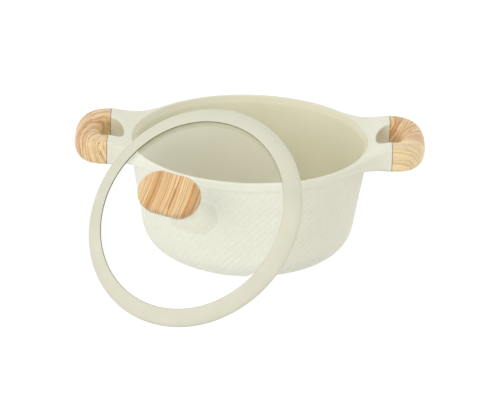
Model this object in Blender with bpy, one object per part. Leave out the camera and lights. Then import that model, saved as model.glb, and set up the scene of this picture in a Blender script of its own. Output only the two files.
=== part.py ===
"""Two-handled casserole pot with a domed glass lid that leans against its rim.

Frame: metres, +Z up. The origin is the middle of the pot's underside, on the table. X runs through the
two handles, and -Y is the pot's front. Lengths below are in millimetres and go through MM.
"""

import math

import bmesh
import bpy
from mathutils import Matrix, Vector

MM = 0.001
GAP = 0.3          # space kept between pieces that touch
LATHE_STEPS = 64   # facets round a large turned piece
SMALL_STEPS = 28   # facets round a small turned piece

# Pot casting
POT_HEIGHT = 118.0
RIM_OUTER = 124.4        # outside radius at the rim
WALL_OUTER = 122.4       # outside radius of the wall line carried up to the rim's height
FOOT_OUTER = 103.0       # outside radius of the wall line where it would meet the table
CORNER_RADIUS = 33.5     # outside corner between wall and underside
UNDERSIDE = 0.4          # height of the casting's underside
FLOOR_TOP = 6.2
INNER_CORNER = 26.0
MOUTH_RADIUS = 120.0     # inside radius at the rim
SEAT_DEPTH = 11.2        # depth below the rim of the ledge that holds the lid
SEAT_OUTER = 114.6
SEAT_INNER = 111.8
COLLAR_BOTTOM = 77.0     # below this height the inside follows the outside's slope
BAND_HEIGHT = 8.6        # smooth band below the rim, standing out from the wall
BAND_OUTER = 124.2       # outside radius at the band's lower edge

# Induction disc pressed into the underside
DISC_RADIUS = 68.0
DISC_THICK = 1.4

# Handle brackets, cast with the pot
SEAM_X = 143.0           # end face of each bracket arm
ARM_INNER = 25.2         # half-width of the finger hole at the seam
ARM_OUTER = 48.6         # half-width over both arms at the seam
FILLET_ANGLE = 44.0      # degrees round the rim at which a bracket's side leaves it
FILLET_END = 139.0       # where the curved side becomes the arm's straight side
HOLE_REACH = 14.5        # how far the finger hole runs from the seam towards the pot
BRACKET_ROOT = 121.8     # radius at which a bracket starts, inside the rim's thickness
ARM_EDGE = 4.0           # rounding of the arms' outer edges
HOLE_EDGE = 2.2          # rounding of the finger hole's edges
ARM_MID = 116.1          # height of the middle of an arm's end face
ARM_HALF = 12.9          # half the height of an arm's end face
ROOT_TOP = 117.3
ROOT_BOTTOM = 109.3
RISE_LENGTH = 30.0       # distance over which a bracket's top rises to the arm's top

# Tenons, sockets and screws that hold the grips
TENON = (12.0, 12.0, 10.0)
TENON_ROOT = 3.0
SCREW_FROM_SEAM = 7.0
GRIP_SCREW_SHANK = 1.5
GRIP_SCREW_HEAD = 3.1
GRIP_SCREW_BOTTOM = 104.4
GRIP_SCREW_HEAD_TALL = 1.9
GRIP_SCREW_TOP = 119.6

# Grips: wood-effect loops between the two arms
GASKET_THICK = 0.7
GRIP_REACH = 178.2       # outermost point of a grip
GRIP_INNER_REACH = 152.2
GRIP_MID_LIFT = -1.2     # how much higher the grip's middle is than its ends
GRIP_MID_HALF = 13.3     # half the grip's height in the middle
OUTLINE_POWER = 2.8      # roundness of the grip's plan outline
HOLE_POWER = 2.2         # roundness of the finger hole's end
END_POWER = 5.4          # squareness of the grip's section at the seam
MID_POWER = 2.3          # squareness of the grip's section in the middle
GRIP_STATIONS = 22
SECTION_POINTS = 24

# Lid, in its own frame: z = 0 is the plane of the ring's lower edge, +z is the outside
LID_RADIUS = 114.0
LID_CENTRE = (-52.2, -135.0, 86.7)
LID_TURN = 31.0          # degrees that the leaning lid faces left of the pot's front
LID_TILT = 49.25         # degrees between the lid's axis and straight up
DOME_RADIUS = 220.0
DOME_EDGE = 97.0         # radius at which the dome meets the glass's flatter border
DOME_EDGE_Z = 7.2
GLASS_RADIUS = 106.5
GLASS_BORDER_Z = 5.4
GLASS_THICK = 4.0
GLASS_HOLE = 4.2
RING_INNER = 97.6
RING_TOP = 9.0

# Knob, in the lid's frame
KNOB_LENGTH = 65.0
KNOB_WIDTH = 41.0
KNOB_TOP = 71.0
CAP_BOTTOM = 55.0
CAP_EDGE = 5.0
BASE_FOOT = 15.0
BASE_WAIST = 12.0
BASE_HEAD = 14.0
WASHER_RADIUS = 12.0
WASHER_THICK = 1.2
SCREW_SHANK = 2.5
SCREW_HEAD = 5.6
SCREW_HEAD_TALL = 3.0
SCREW_TOP = 64.0
INSERT_RADIUS = 5.0
INSERT_HEIGHT = 12.0

# name: (base colour, roughness, metallic)
MATERIALS = {
    "cream_coating": ((0.80, 0.78, 0.66), 0.45, 0.0),
    "disc_steel": ((0.62, 0.61, 0.59), 0.35, 1.0),
    "wood_effect": ((0.80, 0.52, 0.27), 0.5, 0.0),
    "dark_gasket": ((0.10, 0.09, 0.07), 0.7, 0.0),
    "screw_steel": ((0.66, 0.66, 0.66), 0.3, 1.0),
    "clear_glass": ((0.93, 0.96, 0.95), 0.03, 0.0),
    "cream_silicone": ((0.74, 0.72, 0.60), 0.6, 0.0),
    "cream_plastic": ((0.82, 0.80, 0.68), 0.4, 0.0),
    "clear_silicone": ((0.85, 0.85, 0.80), 0.5, 0.0),
    "insert_brass": ((0.78, 0.60, 0.30), 0.35, 1.0),
}


def clear_scene():
    for thing in list(bpy.data.objects):
        bpy.data.objects.remove(thing, do_unlink=True)


def material(name):
    """Return the named Principled material, made on first use."""
    made = bpy.data.materials.get(name)
    if made:
        return made
    colour, roughness, metallic = MATERIALS[name]
    made = bpy.data.materials.new(name)
    made.use_nodes = True
    shader = made.node_tree.nodes["Principled BSDF"]
    shader.inputs["Base Color"].default_value = (*colour, 1.0)
    shader.inputs["Roughness"].default_value = roughness
    shader.inputs["Metallic"].default_value = metallic
    if name == "clear_glass":
        shader.inputs["Transmission Weight"].default_value = 0.9
    return made


def add_object(name, bm, surface=None, parent=None):
    """Turn a bmesh drawn in millimetres into an object; one without a material is a Boolean operand."""
    bmesh.ops.recalc_face_normals(bm, faces=bm.faces)
    bmesh.ops.scale(bm, vec=(MM, MM, MM), verts=bm.verts)
    mesh = bpy.data.meshes.new(name)
    bm.to_mesh(mesh)
    bm.free()
    thing = bpy.data.objects.new(name, mesh)
    bpy.context.collection.objects.link(thing)
    thing.parent = parent
    if surface:
        mesh.materials.append(material(surface))
    else:
        thing.display_type = "WIRE"
        thing.hide_render = True
    return thing


def pour(source, bm):
    """Move everything in one bmesh into another."""
    mesh = bpy.data.meshes.new("draft")
    source.to_mesh(mesh)
    source.free()
    bm.from_mesh(mesh)
    bpy.data.meshes.remove(mesh)


def combine(target, operand, operation):
    """Add a Boolean modifier to target."""
    modifier = target.modifiers.new(operand.name, "BOOLEAN")
    modifier.operation = operation
    modifier.object = operand


def arc(centre_r, centre_z, radius, start, end, steps):
    """Points of a profile arc; angles in degrees from the +r direction."""
    points = []
    for i in range(steps + 1):
        angle = math.radians(start + (end - start) * i / steps)
        points.append((centre_r + radius * math.cos(angle), centre_z + radius * math.sin(angle)))
    return points


def lathe(bm, profile, steps, closed):
    """Spin a profile of (r, z) points about Z; a closed profile makes a ring."""
    verts = [bm.verts.new((r, 0.0, z)) for r, z in profile]
    edges = [bm.edges.new(pair) for pair in zip(verts, verts[1:])]
    if closed:
        edges.append(bm.edges.new((verts[-1], verts[0])))
    bmesh.ops.spin(
        bm, geom=verts + edges, cent=(0, 0, 0), axis=(0, 0, 1), angle=2 * math.pi, steps=steps
    )
    bmesh.ops.remove_doubles(bm, verts=bm.verts, dist=0.0005)


def turned(name, profile, surface, steps=SMALL_STEPS, closed=False, parent=None):
    """A turned solid as an object of its own."""
    bm = bmesh.new()
    lathe(bm, profile, steps, closed)
    return add_object(name, bm, surface, parent)


def add_box(bm, centre, size):
    matrix = Matrix.Translation(centre) @ Matrix.Diagonal((*size, 1.0))
    bmesh.ops.create_cube(bm, size=1.0, matrix=matrix)


def add_cylinder(bm, x, y, low, high, radius, steps=16):
    bmesh.ops.create_cone(
        bm,
        cap_ends=True,
        segments=steps,
        radius1=radius,
        radius2=radius,
        depth=high - low,
        matrix=Matrix.Translation((x, y, (low + high) / 2)),
    )


def add_loops(bm, loops):
    """Skin a list of equal closed loops and cap both ends."""
    rings = [[bm.verts.new(point) for point in loop] for loop in loops]
    count = len(rings[0])
    for first, second in zip(rings, rings[1:]):
        for i in range(count):
            j = (i + 1) % count
            bm.faces.new((first[i], first[j], second[j], second[i]))
    bm.faces.new(rings[0])
    bm.faces.new(reversed(rings[-1]))


def superellipse(angle, power):
    """Unit superellipse point at a parametric angle."""
    c = math.cos(angle)
    s = math.sin(angle)
    return (
        math.copysign(abs(c) ** (2 / power), c),
        math.copysign(abs(s) ** (2 / power), s),
    )


# Pot --------------------------------------------------------------------------------------------

def wall_radius(z):
    """Outside radius of the sloping wall at a height."""
    return FOOT_OUTER + (WALL_OUTER - FOOT_OUTER) * z / POT_HEIGHT


def pot_profile():
    """Closed half-section of the casting from the axis underneath to the axis inside."""
    slope = (WALL_OUTER - FOOT_OUTER) / POT_HEIGHT
    lean = math.degrees(math.atan(slope))
    tangent = math.tan(math.radians((90 - lean) / 2))
    recess_radius = DISC_RADIUS + GAP
    recess_top = DISC_THICK + GAP
    top = POT_HEIGHT

    outer_corner = wall_radius(UNDERSIDE) - CORNER_RADIUS * tangent
    outside = [(0.0, recess_top), (recess_radius, recess_top), (recess_radius, UNDERSIDE)]
    outside += arc(outer_corner, UNDERSIDE + CORNER_RADIUS, CORNER_RADIUS, -90, -lean, 9)
    band_z = top - BAND_HEIGHT
    outside.append((wall_radius(band_z - 0.6), band_z - 0.6))
    outside.append((BAND_OUTER - 1.0, band_z + 0.1))
    outside.append((BAND_OUTER, band_z + 1.0))
    outside.append((RIM_OUTER - 0.1, top - 2.0))
    outside.append((RIM_OUTER - 0.8, top - 0.6))

    seat_z = top - SEAT_DEPTH
    inner_foot = SEAT_INNER - slope * (COLLAR_BOTTOM - FLOOR_TOP)
    inner_corner = inner_foot - INNER_CORNER * tangent
    inside = [(122.2, top), (MOUTH_RADIUS + 0.8, top - 0.6), (MOUTH_RADIUS, top - 2.0)]
    inside.append((SEAT_OUTER, seat_z + 0.4))
    inside.append((SEAT_OUTER - 0.4, seat_z))
    inside.append((SEAT_INNER + 0.4, seat_z))
    inside.append((SEAT_INNER, seat_z - 0.4))
    inside.append((SEAT_INNER, COLLAR_BOTTOM))
    inside += arc(inner_corner, FLOOR_TOP + INNER_CORNER, INNER_CORNER, -lean, -90, 7)
    inside.append((0.0, FLOOR_TOP))
    return outside + inside


def rise(radius):
    """How far along its climb a bracket's top is at a radius: 0 at the rim, 1 at the arms."""
    t = min(max((radius - BRACKET_ROOT) / RISE_LENGTH, 0.0), 1.0)
    return math.sin(t * math.pi / 2)


def bracket_outline():
    """Plan outline of the right-hand bracket: rim side, fillet, arm, finger hole, arm, fillet."""
    contact = math.radians(FILLET_ANGLE)
    rim_x = RIM_OUTER * math.cos(contact)
    rim_y = RIM_OUTER * math.sin(contact)
    bend_x = rim_x + (rim_y - ARM_OUTER) * math.tan(contact)
    upper = []
    for i in range(11):
        t = i / 10
        x = (1 - t) ** 2 * rim_x + 2 * t * (1 - t) * bend_x + t * t * FILLET_END
        y = (1 - t) ** 2 * rim_y + (1 - (1 - t) ** 2) * ARM_OUTER
        upper.append((x, y))
    upper.append((SEAM_X, ARM_OUTER))
    hole = []
    for i in range(13):
        c, s = superellipse(math.pi / 2 - math.pi * i / 12, HOLE_POWER)
        hole.append((SEAM_X - HOLE_REACH * c, ARM_INNER * s))
    lower = [(x, -y) for x, y in reversed(upper)]
    root_angle = contact + math.radians(0.8)
    root = []
    for i in range(15):
        angle = -root_angle + 2 * root_angle * i / 14
        root.append((BRACKET_ROOT * math.cos(angle), BRACKET_ROOT * math.sin(angle)))
    return upper + hole + lower + root


def on_seam(edge):
    return all(abs(v.co.x - SEAM_X) < 0.01 for v in edge.verts)


def on_hole(edge):
    nose = SEAM_X - HOLE_REACH - 0.01
    return all(abs(v.co.y) < ARM_INNER + 0.01 and v.co.x > nose for v in edge.verts)


def on_root(edge):
    return all(math.hypot(v.co.x, v.co.y) < BRACKET_ROOT + 0.5 for v in edge.verts)


def is_outline(edge):
    """True for an edge between an upright side face and the top or bottom face."""
    lean = [abs(face.normal.z) for face in edge.link_faces]
    return min(lean) < 0.1 and max(lean) > 0.9


def build_bracket(bm, side):
    """Add one bracket: a plate with rounded edges, cut into strips and raised to its real height."""
    part = bmesh.new()
    outline = [part.verts.new((x, y, -ARM_HALF)) for x, y in bracket_outline()]
    plate = part.faces.new(outline)
    grown = bmesh.ops.extrude_face_region(part, geom=[plate])["geom"]
    top_verts = [g for g in grown if isinstance(g, bmesh.types.BMVert)]
    bmesh.ops.translate(part, vec=(0, 0, 2 * ARM_HALF), verts=top_verts)
    for hole, offset in ((True, HOLE_EDGE), (False, ARM_EDGE)):
        part.normal_update()
        rims = [e for e in part.edges if is_outline(e) and on_hole(e) == hole]
        rims = [e for e in rims if not on_seam(e) and not on_root(e)]
        bmesh.ops.bevel(
            part, geom=rims, offset=offset, segments=3, profile=0.5, affect="EDGES", clamp_overlap=False
        )
    for x in (96, 104, 110, 116, 122, 125, 128, 131, 135, 139):
        everything = part.verts[:] + part.edges[:] + part.faces[:]
        bmesh.ops.bisect_plane(part, geom=everything, dist=0.001, plane_co=(x, 0, 0), plane_no=(1, 0, 0))
    for y in (-64, -54, -46, -38, -30, -20, -10, 0, 10, 20, 30, 38, 46, 54, 64):
        everything = part.verts[:] + part.edges[:] + part.faces[:]
        bmesh.ops.bisect_plane(part, geom=everything, dist=0.001, plane_co=(0, y, 0), plane_no=(0, 1, 0))
    for vert in part.verts:
        lift = rise(math.hypot(vert.co.x, vert.co.y))
        high = ROOT_TOP + (ARM_MID + ARM_HALF - ROOT_TOP) * lift
        low = ROOT_BOTTOM + (ARM_MID - ARM_HALF - ROOT_BOTTOM) * lift
        share = (vert.co.z + ARM_HALF) / (2 * ARM_HALF)
        vert.co.z = low + (high - low) * share
        vert.co.x *= side
    bmesh.ops.remove_doubles(part, verts=part.verts, dist=0.01)
    bmesh.ops.triangulate(part, faces=part.faces)
    bmesh.ops.recalc_face_normals(part, faces=part.faces)
    pour(part, bm)


def arm_centres():
    """The four arm ends as (side, end): side is +1 right, end is +1 back."""
    return [(side, end) for side in (-1, 1) for end in (-1, 1)]


def arm_middle():
    return (ARM_INNER + ARM_OUTER) / 2


def tenon_boxes(bm, margin):
    """Boxes of the four tenons, grown by a margin for their sockets and for the gaskets."""
    length, width, height = TENON
    for side, end in arm_centres():
        centre_x = SEAM_X + (length - TENON_ROOT) / 2
        size = (length + TENON_ROOT + 2 * margin, width + 2 * margin, height + 2 * margin)
        add_box(bm, (side * centre_x, end * arm_middle(), ARM_MID), size)


def screw_holes(bm):
    """Holes of the four grip screws: clearance for the shank and a pocket for the head."""
    shank = GRIP_SCREW_SHANK + GAP
    pocket = GRIP_SCREW_HEAD + GAP
    pocket_top = GRIP_SCREW_BOTTOM + GRIP_SCREW_HEAD_TALL + GAP
    top = GRIP_SCREW_TOP + GAP
    profile = [(0.0, 95.0), (pocket, 95.0), (pocket, pocket_top), (shank, pocket_top), (shank, top)]
    for side, end in arm_centres():
        hole = bmesh.new()
        lathe(hole, profile + [(0.0, top)], 16, closed=False)
        offset = (side * (SEAM_X + SCREW_FROM_SEAM), end * arm_middle(), 0.0)
        bmesh.ops.translate(hole, vec=offset, verts=hole.verts)
        pour(hole, bm)


def build_pot():
    bm = bmesh.new()
    lathe(bm, pot_profile(), LATHE_STEPS, closed=False)
    pot = add_object("pot_body", bm, "cream_coating")

    bm = bmesh.new()
    for side in (-1, 1):
        build_bracket(bm, side)
    combine(pot, add_object("bracket_operand", bm), "UNION")

    bm = bmesh.new()
    tenon_boxes(bm, 0.0)
    combine(pot, add_object("tenon_operand", bm), "UNION")

    bm = bmesh.new()
    screw_holes(bm)
    combine(pot, add_object("pilot_operand", bm), "DIFFERENCE")

    edge = 0.4
    disc = [(0.0, 0.0), (DISC_RADIUS - edge, 0.0), (DISC_RADIUS, edge), (DISC_RADIUS, DISC_THICK)]
    turned("base_disc", disc + [(0.0, DISC_THICK)], "disc_steel", LATHE_STEPS)


# Grips ------------------------------------------------------------------------------------------

def section(centre, across, half_width, half_height, power):
    """Superellipse section in the upright plane through the direction across."""
    points = []
    for i in range(SECTION_POINTS):
        c, s = superellipse(2 * math.pi * (i + 0.5) / SECTION_POINTS, power)
        points.append(centre + across * (half_width * c) + Vector((0, 0, half_height * s)))
    return points


def grip_loops(side):
    """Sections of a grip from its front seam round to its back seam."""
    start_x = SEAM_X + GASKET_THICK + 2 * GAP
    loops = []
    for i in range(GRIP_STATIONS + 1):
        angle = math.pi * (i / GRIP_STATIONS - 0.5)
        middle = math.cos(angle)
        c, s = superellipse(angle, OUTLINE_POWER)
        outer = Vector((start_x + (GRIP_REACH - start_x) * c, ARM_OUTER * s, 0))
        inner_x = start_x + (GRIP_INNER_REACH - start_x) * middle
        inner = Vector((inner_x, ARM_INNER * math.sin(angle), 0))
        across = outer - inner
        half_width = across.length / 2
        across.normalize()
        centre = (outer + inner) / 2
        centre.z = ARM_MID + GRIP_MID_LIFT * middle
        half_height = ARM_HALF + (GRIP_MID_HALF - ARM_HALF) * middle
        power = END_POWER + (MID_POWER - END_POWER) * middle**0.6
        loop = section(centre, across, half_width, half_height, power)
        loops.append([Vector((side * p.x, p.y, p.z)) for p in loop])
    return loops


def build_grips():
    names = {-1: "left", 1: "right"}
    ends = {-1: "front", 1: "back"}

    bm = bmesh.new()
    tenon_boxes(bm, GAP)
    sockets = add_object("socket_operand", bm)
    bm = bmesh.new()
    screw_holes(bm)
    holes = add_object("grip_hole_operand", bm)

    for side in (-1, 1):
        bm = bmesh.new()
        add_loops(bm, grip_loops(side))
        grip = add_object("grip_" + names[side], bm, "wood_effect")
        combine(grip, sockets, "DIFFERENCE")
        combine(grip, holes, "DIFFERENCE")

    for side, end in arm_centres():
        label = names[side] + "_" + ends[end]
        y = end * arm_middle()
        half_width = (ARM_OUTER - ARM_INNER) / 2 - 0.3
        loops = []
        for x in (SEAM_X + GAP, SEAM_X + GAP + GASKET_THICK):
            centre = Vector((side * x, y, ARM_MID))
            loops.append(section(centre, Vector((0, 1, 0)), half_width, ARM_HALF - 0.3, END_POWER))
        bm = bmesh.new()
        add_loops(bm, loops)
        gasket = add_object("grip_gasket_" + label, bm, "dark_gasket")
        combine(gasket, sockets, "DIFFERENCE")

        head = GRIP_SCREW_HEAD
        head_top = GRIP_SCREW_HEAD_TALL
        top = GRIP_SCREW_TOP - GRIP_SCREW_BOTTOM
        profile = [(0.0, 0.0), (head - 0.6, 0.0), (head, 0.5), (head, head_top)]
        profile += [(GRIP_SCREW_SHANK, head_top), (GRIP_SCREW_SHANK, top - 1.0)]
        profile += [(GRIP_SCREW_SHANK - 0.7, top), (0.0, top)]
        screw = turned("grip_screw_" + label, profile, "screw_steel", 16)
        screw.location = Vector((side * (SEAM_X + SCREW_FROM_SEAM), y, GRIP_SCREW_BOTTOM)) * MM


# Lid --------------------------------------------------------------------------------------------

def dome(radius):
    """Height of the glass's outside surface at a radius."""
    drop = math.sqrt(DOME_RADIUS**2 - DOME_EDGE**2) - math.sqrt(DOME_RADIUS**2 - radius**2)
    return DOME_EDGE_Z - drop


def glass_profile():
    outside = []
    for i in range(8):
        radius = GLASS_HOLE + (DOME_EDGE - GLASS_HOLE) * i / 7
        outside.append((radius, dome(radius)))
    outside.append((GLASS_RADIUS - 0.6, GLASS_BORDER_Z + 0.1))
    outside.append((GLASS_RADIUS, GLASS_BORDER_Z - 0.6))
    inside = [(r, z - GLASS_THICK) for r, z in reversed(outside[:-1])]
    return outside + [(GLASS_RADIUS, GLASS_BORDER_Z - GLASS_THICK + 0.6)] + inside


def ring_profile():
    """Silicone ring with a groove that grips the glass's border."""
    groove_end = GLASS_RADIUS + GAP
    under = [(LID_RADIUS, 0.7), (LID_RADIUS - 0.7, 0.0), (102.2, 0.0), (101.5, 0.6), (101.5, 1.6)]
    groove = [(groove_end, 0.9), (groove_end, GLASS_BORDER_Z + 0.35), (RING_INNER, 7.55)]
    lip = [(RING_INNER, RING_TOP - 0.5), (RING_INNER + 0.5, RING_TOP), (RING_INNER + 2.0, RING_TOP - 0.2)]
    top = [(105.5, 7.5), (110.5, 5.4), (112.8, 3.8), (113.6, 2.4)]
    return under + groove + lip + top


def build_lid():
    lid = bpy.data.objects.new("lid_frame", None)
    bpy.context.collection.objects.link(lid)
    lid.location = Vector(LID_CENTRE) * MM
    lid.rotation_euler = (math.radians(LID_TILT), 0.0, math.radians(-LID_TURN))

    turned("lid_glass", glass_profile(), "clear_glass", LATHE_STEPS, closed=True, parent=lid)
    turned("lid_ring", ring_profile(), "cream_silicone", LATHE_STEPS, closed=True, parent=lid)

    crown = dome(0.0)
    bore = SCREW_SHANK + GAP
    foot_z = crown + GAP + WASHER_THICK
    upper = [(bore, crown + GAP), (WASHER_RADIUS, dome(WASHER_RADIUS) + GAP)]
    upper += [(WASHER_RADIUS, foot_z), (bore, foot_z)]
    turned("knob_gasket_upper", upper, "clear_silicone", closed=True, parent=lid)

    low = foot_z + GAP
    high = CAP_BOTTOM - GAP
    base = [(bore, low), (BASE_FOOT - 0.6, low), (BASE_FOOT, low + 0.8), (BASE_FOOT - 0.4, low + 2.4)]
    base += [(BASE_WAIST, low + 6.5), (BASE_WAIST, high - 6.0), (BASE_HEAD, high - 1.0)]
    base += [(BASE_HEAD, high), (bore, high)]
    turned("knob_base", base, "cream_plastic", closed=True, parent=lid)

    ceiling = crown - GLASS_THICK - GAP
    drop = crown - dome(WASHER_RADIUS)
    lower = [(bore, ceiling), (WASHER_RADIUS, ceiling - drop)]
    lower += [(WASHER_RADIUS, ceiling - drop - WASHER_THICK), (bore, ceiling - drop - WASHER_THICK)]
    turned("knob_gasket_lower", lower, "clear_silicone", closed=True, parent=lid)

    washer_z = ceiling - drop - WASHER_THICK - GAP
    outer = WASHER_RADIUS - 1.5
    washer = [(bore, washer_z), (outer, washer_z), (outer, washer_z - WASHER_THICK)]
    washer.append((bore, washer_z - WASHER_THICK))
    turned("knob_washer", washer, "screw_steel", closed=True, parent=lid)

    seat = washer_z - WASHER_THICK - GAP
    screw = [(0.0, seat - SCREW_HEAD_TALL), (SCREW_HEAD - 2.0, seat - SCREW_HEAD_TALL)]
    screw += [(SCREW_HEAD - 0.5, seat - SCREW_HEAD_TALL + 1.0), (SCREW_HEAD, seat - 0.6)]
    screw += [(SCREW_HEAD, seat), (SCREW_SHANK, seat), (SCREW_SHANK, SCREW_TOP - 1.0)]
    screw += [(SCREW_SHANK - 1.0, SCREW_TOP), (0.0, SCREW_TOP)]
    turned("knob_screw", screw, "screw_steel", parent=lid)

    insert_low = CAP_BOTTOM + GAP
    insert_high = insert_low + INSERT_HEIGHT
    insert = [(bore, insert_low), (INSERT_RADIUS, insert_low), (INSERT_RADIUS, insert_high)]
    insert.append((bore, insert_high))
    turned("knob_insert", insert, "insert_brass", closed=True, parent=lid)

    bm = bmesh.new()
    add_loops(bm, cap_loops())
    cap = add_object("knob_cap", bm, "wood_effect", lid)
    bm = bmesh.new()
    add_cylinder(bm, 0.0, 0.0, CAP_BOTTOM - 5.0, insert_high + GAP, INSERT_RADIUS + GAP, SMALL_STEPS)
    combine(cap, add_object("insert_operand", bm, None, lid), "DIFFERENCE")


def cap_loops():
    """Level outlines of the knob's cap: a stadium, rounded in at the bottom and the top."""
    levels = [(CAP_BOTTOM, 2.0), (CAP_BOTTOM + 1.0, 0.6), (CAP_BOTTOM + 3.0, 0.0)]
    for i in range(5):
        angle = math.pi / 2 * i / 4
        inset = CAP_EDGE * (1 - math.cos(angle))
        levels.append((KNOB_TOP - 1.0 - CAP_EDGE + CAP_EDGE * math.sin(angle), inset))
    levels.append((KNOB_TOP - 0.3, CAP_EDGE + 4.0))
    levels.append((KNOB_TOP, CAP_EDGE + 9.0))
    straight = (KNOB_LENGTH - KNOB_WIDTH) / 2
    loops = []
    for z, inset in levels:
        radius = KNOB_WIDTH / 2 - inset
        loop = []
        for centre, start in ((straight, -90), (-straight, 90)):
            for i in range(13):
                angle = math.radians(start + 180 * i / 12)
                loop.append((centre + radius * math.cos(angle), radius * math.sin(angle), z))
        loops.append(loop)
    return loops


def main():
    clear_scene()
    build_pot()
    build_grips()
    build_lid()


main()
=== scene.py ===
"""Looks of the two-handled pot and its leaning glass lid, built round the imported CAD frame.

Lengths are in millimetres and go through MM, because Blender works in metres. The stage, the scales of the
textures and their bump heights are given as Blender takes them.
The sizes of the pot, grips and lid are the CAD's own driving dimensions, unless a comment says otherwise.
Pieces are drawn in the row frame, and the lid's pieces in the lid's frame.
"""

import math

import bmesh
import bpy
import numpy as np
from mathutils import Euler, Matrix, Vector


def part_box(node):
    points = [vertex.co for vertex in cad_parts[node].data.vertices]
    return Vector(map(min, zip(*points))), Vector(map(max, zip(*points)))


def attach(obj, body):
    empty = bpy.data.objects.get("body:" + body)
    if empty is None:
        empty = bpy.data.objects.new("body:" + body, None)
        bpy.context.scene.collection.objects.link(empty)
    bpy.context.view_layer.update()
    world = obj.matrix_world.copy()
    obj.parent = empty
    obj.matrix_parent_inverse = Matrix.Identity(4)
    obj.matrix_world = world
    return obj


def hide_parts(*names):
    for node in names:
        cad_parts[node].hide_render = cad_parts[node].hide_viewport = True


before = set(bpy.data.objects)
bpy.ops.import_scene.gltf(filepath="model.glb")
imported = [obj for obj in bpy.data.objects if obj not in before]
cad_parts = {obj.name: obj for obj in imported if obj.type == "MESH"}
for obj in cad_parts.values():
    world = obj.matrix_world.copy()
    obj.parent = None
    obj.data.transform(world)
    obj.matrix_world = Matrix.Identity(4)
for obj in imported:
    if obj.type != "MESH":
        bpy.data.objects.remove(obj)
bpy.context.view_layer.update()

MM = 0.001

# Pot; inside, the looks run in one smooth curve past the ledge of the seat and collar numbers
POT_HEIGHT = 118.0
RIM_OUTER = 124.28       # 0.12 inside the CAD
WALL_OUTER = 122.4
FOOT_OUTER = 103.0
CORNER_RADIUS = 33.5
UNDERSIDE = 0.4
FLOOR_TOP = 6.2
INNER_CORNER = 26.0
MOUTH_RADIUS = 120.0
SEAT_DEPTH = 11.2
SEAT_OUTER = 114.6
SEAT_INNER = 111.8
COLLAR_BOTTOM = 77.0
BAND_HEIGHT = 8.6
BAND_OUTER = 124.1       # 0.1 inside the CAD
DISC_RADIUS = 68.0
DISC_THICK = 1.4
SLOPE = (WALL_OUTER - FOOT_OUTER) / POT_HEIGHT
LEAN = math.atan(SLOPE)

# Rim and brackets
RIM_CREST = 121.5        # radius at which the rim's flat crest starts
RIM_ROUND = 2.2
SEAM_X = 143.0
ARM_INNER = 25.2
ARM_OUTER = 48.6
FILLET_ANGLE = 44.0
FILLET_END = 139.0
HOLE_REACH = 14.5
ARM_EDGE = 4.0
HOLE_EDGE = 2.2
ARM_MID = 116.1
ARM_HALF = 12.9
RISE_START = 122.2
RISE_LENGTH = 30.0
RISE_SOFT = 0.05         # how softly a bracket's top starts to climb
HOLE_POWER = 2.2
RIM_COLUMNS = 0.46       # share of half a bracket's mesh columns that go from the rim to the seam
SEAM_COLUMNS = 0.24      # share that cross the seam; the rest go round the finger hole

# Lozenge relief on the wall
LOZENGES = 92
PER_LOZENGE = 6          # mesh columns and rows to one lozenge
LOZENGE_HEIGHT = 8.4
RELIEF_DEPTH = 1.1
CROSS_GROOVES = 0.65     # depth of the grooves that fall to the right, as a share of the others'
RELIEF_MEAN = 0.52       # mean height of a lozenge, taken off so that the wall keeps its radius
RELIEF_FADE_TOP = 2.5    # run over which the relief fades in under the band
RELIEF_FADE_LOW = 14.0   # run over which it fades out on the bottom corner
RELIEF_REACH = 0.62      # share of the bottom corner that it covers
COLUMNS = LOZENGES * PER_LOZENGE

# Grips
GASKET_THICK = 0.5       # 0.2 thinner than the CAD's, and without the air beside it
GRIP_REACH = 178.1       # 0.1 inside the CAD
GRIP_INNER_REACH = 152.2
GRIP_MID_LIFT = -1.2
GRIP_MID_HALF = 13.25    # 0.05 inside the CAD
OUTLINE_POWER = 2.8
END_POWER = 5.4
MID_POWER = 2.3
GRIP_STATIONS = 90
SECTION_POINTS = 72
END_CUTS = ((0.0, 0.3), (0.15, 0.05))  # softened end edge: how far back, how much smaller
GASKET_INSET = 0.15      # how far a gasket stays under the arm's outline

# Lid, in its own frame
LID_RADIUS = 114.0
LID_CENTRE = (-52.2, -135.0, 86.7)
LID_TURN = 31.0
LID_TILT = 49.25
DOME_RADIUS = 220.0
DOME_EDGE = 97.0
DOME_EDGE_Z = 7.2
GLASS_RADIUS = 106.5
GLASS_BORDER_Z = 5.4
GLASS_THICK = 4.0
GLASS_HOLE = 4.2
RING_INNER = 97.6
RING_TOP = 9.0
KNOB_LENGTH = 65.0
KNOB_WIDTH = 41.0
KNOB_TOP = 71.0
CAP_BOTTOM = 55.0
CAP_EDGE = 5.0
BASE_FOOT = 15.0
BASE_WAIST = 12.0
BASE_HEAD = 14.0

# Knob's stack: seals on both sides of the glass, washer, screw and threaded insert
AIR = 0.3                # left beside the seals and under the insert, as in the CAD
THIN_AIR = 0.1           # left at both ends of the post and over the washer; 0.3 in the CAD
SOFT_EDGE = 0.3
BOLT_HOLE = 2.8
SEAL_RADIUS = 12.0
SEAL_THICK = 1.2
WASHER_RADIUS = SEAL_RADIUS - 1.5
WASHER_THICK = 1.2
SCREW_SEAT = 1.8         # how far the screw head's seat lies under the lower seal
SCREW_HEAD = 5.6
SCREW_SHANK = 2.5
SCREW_TOP = 64.0
INSERT_RADIUS = 5.0
INSERT_LENGTH = 12.0

# Camera: distance from the pot, height of its look and where the pot's middle falls in the frame
CAMERA_DISTANCE = 3000.0
CAMERA_ELEVATION = 22.88
CAMERA_ROLL = 1.52
CAMERA_LENS = 210.5
AIM_RIGHT = 1.5
AIM_DOWN = 19.3

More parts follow.
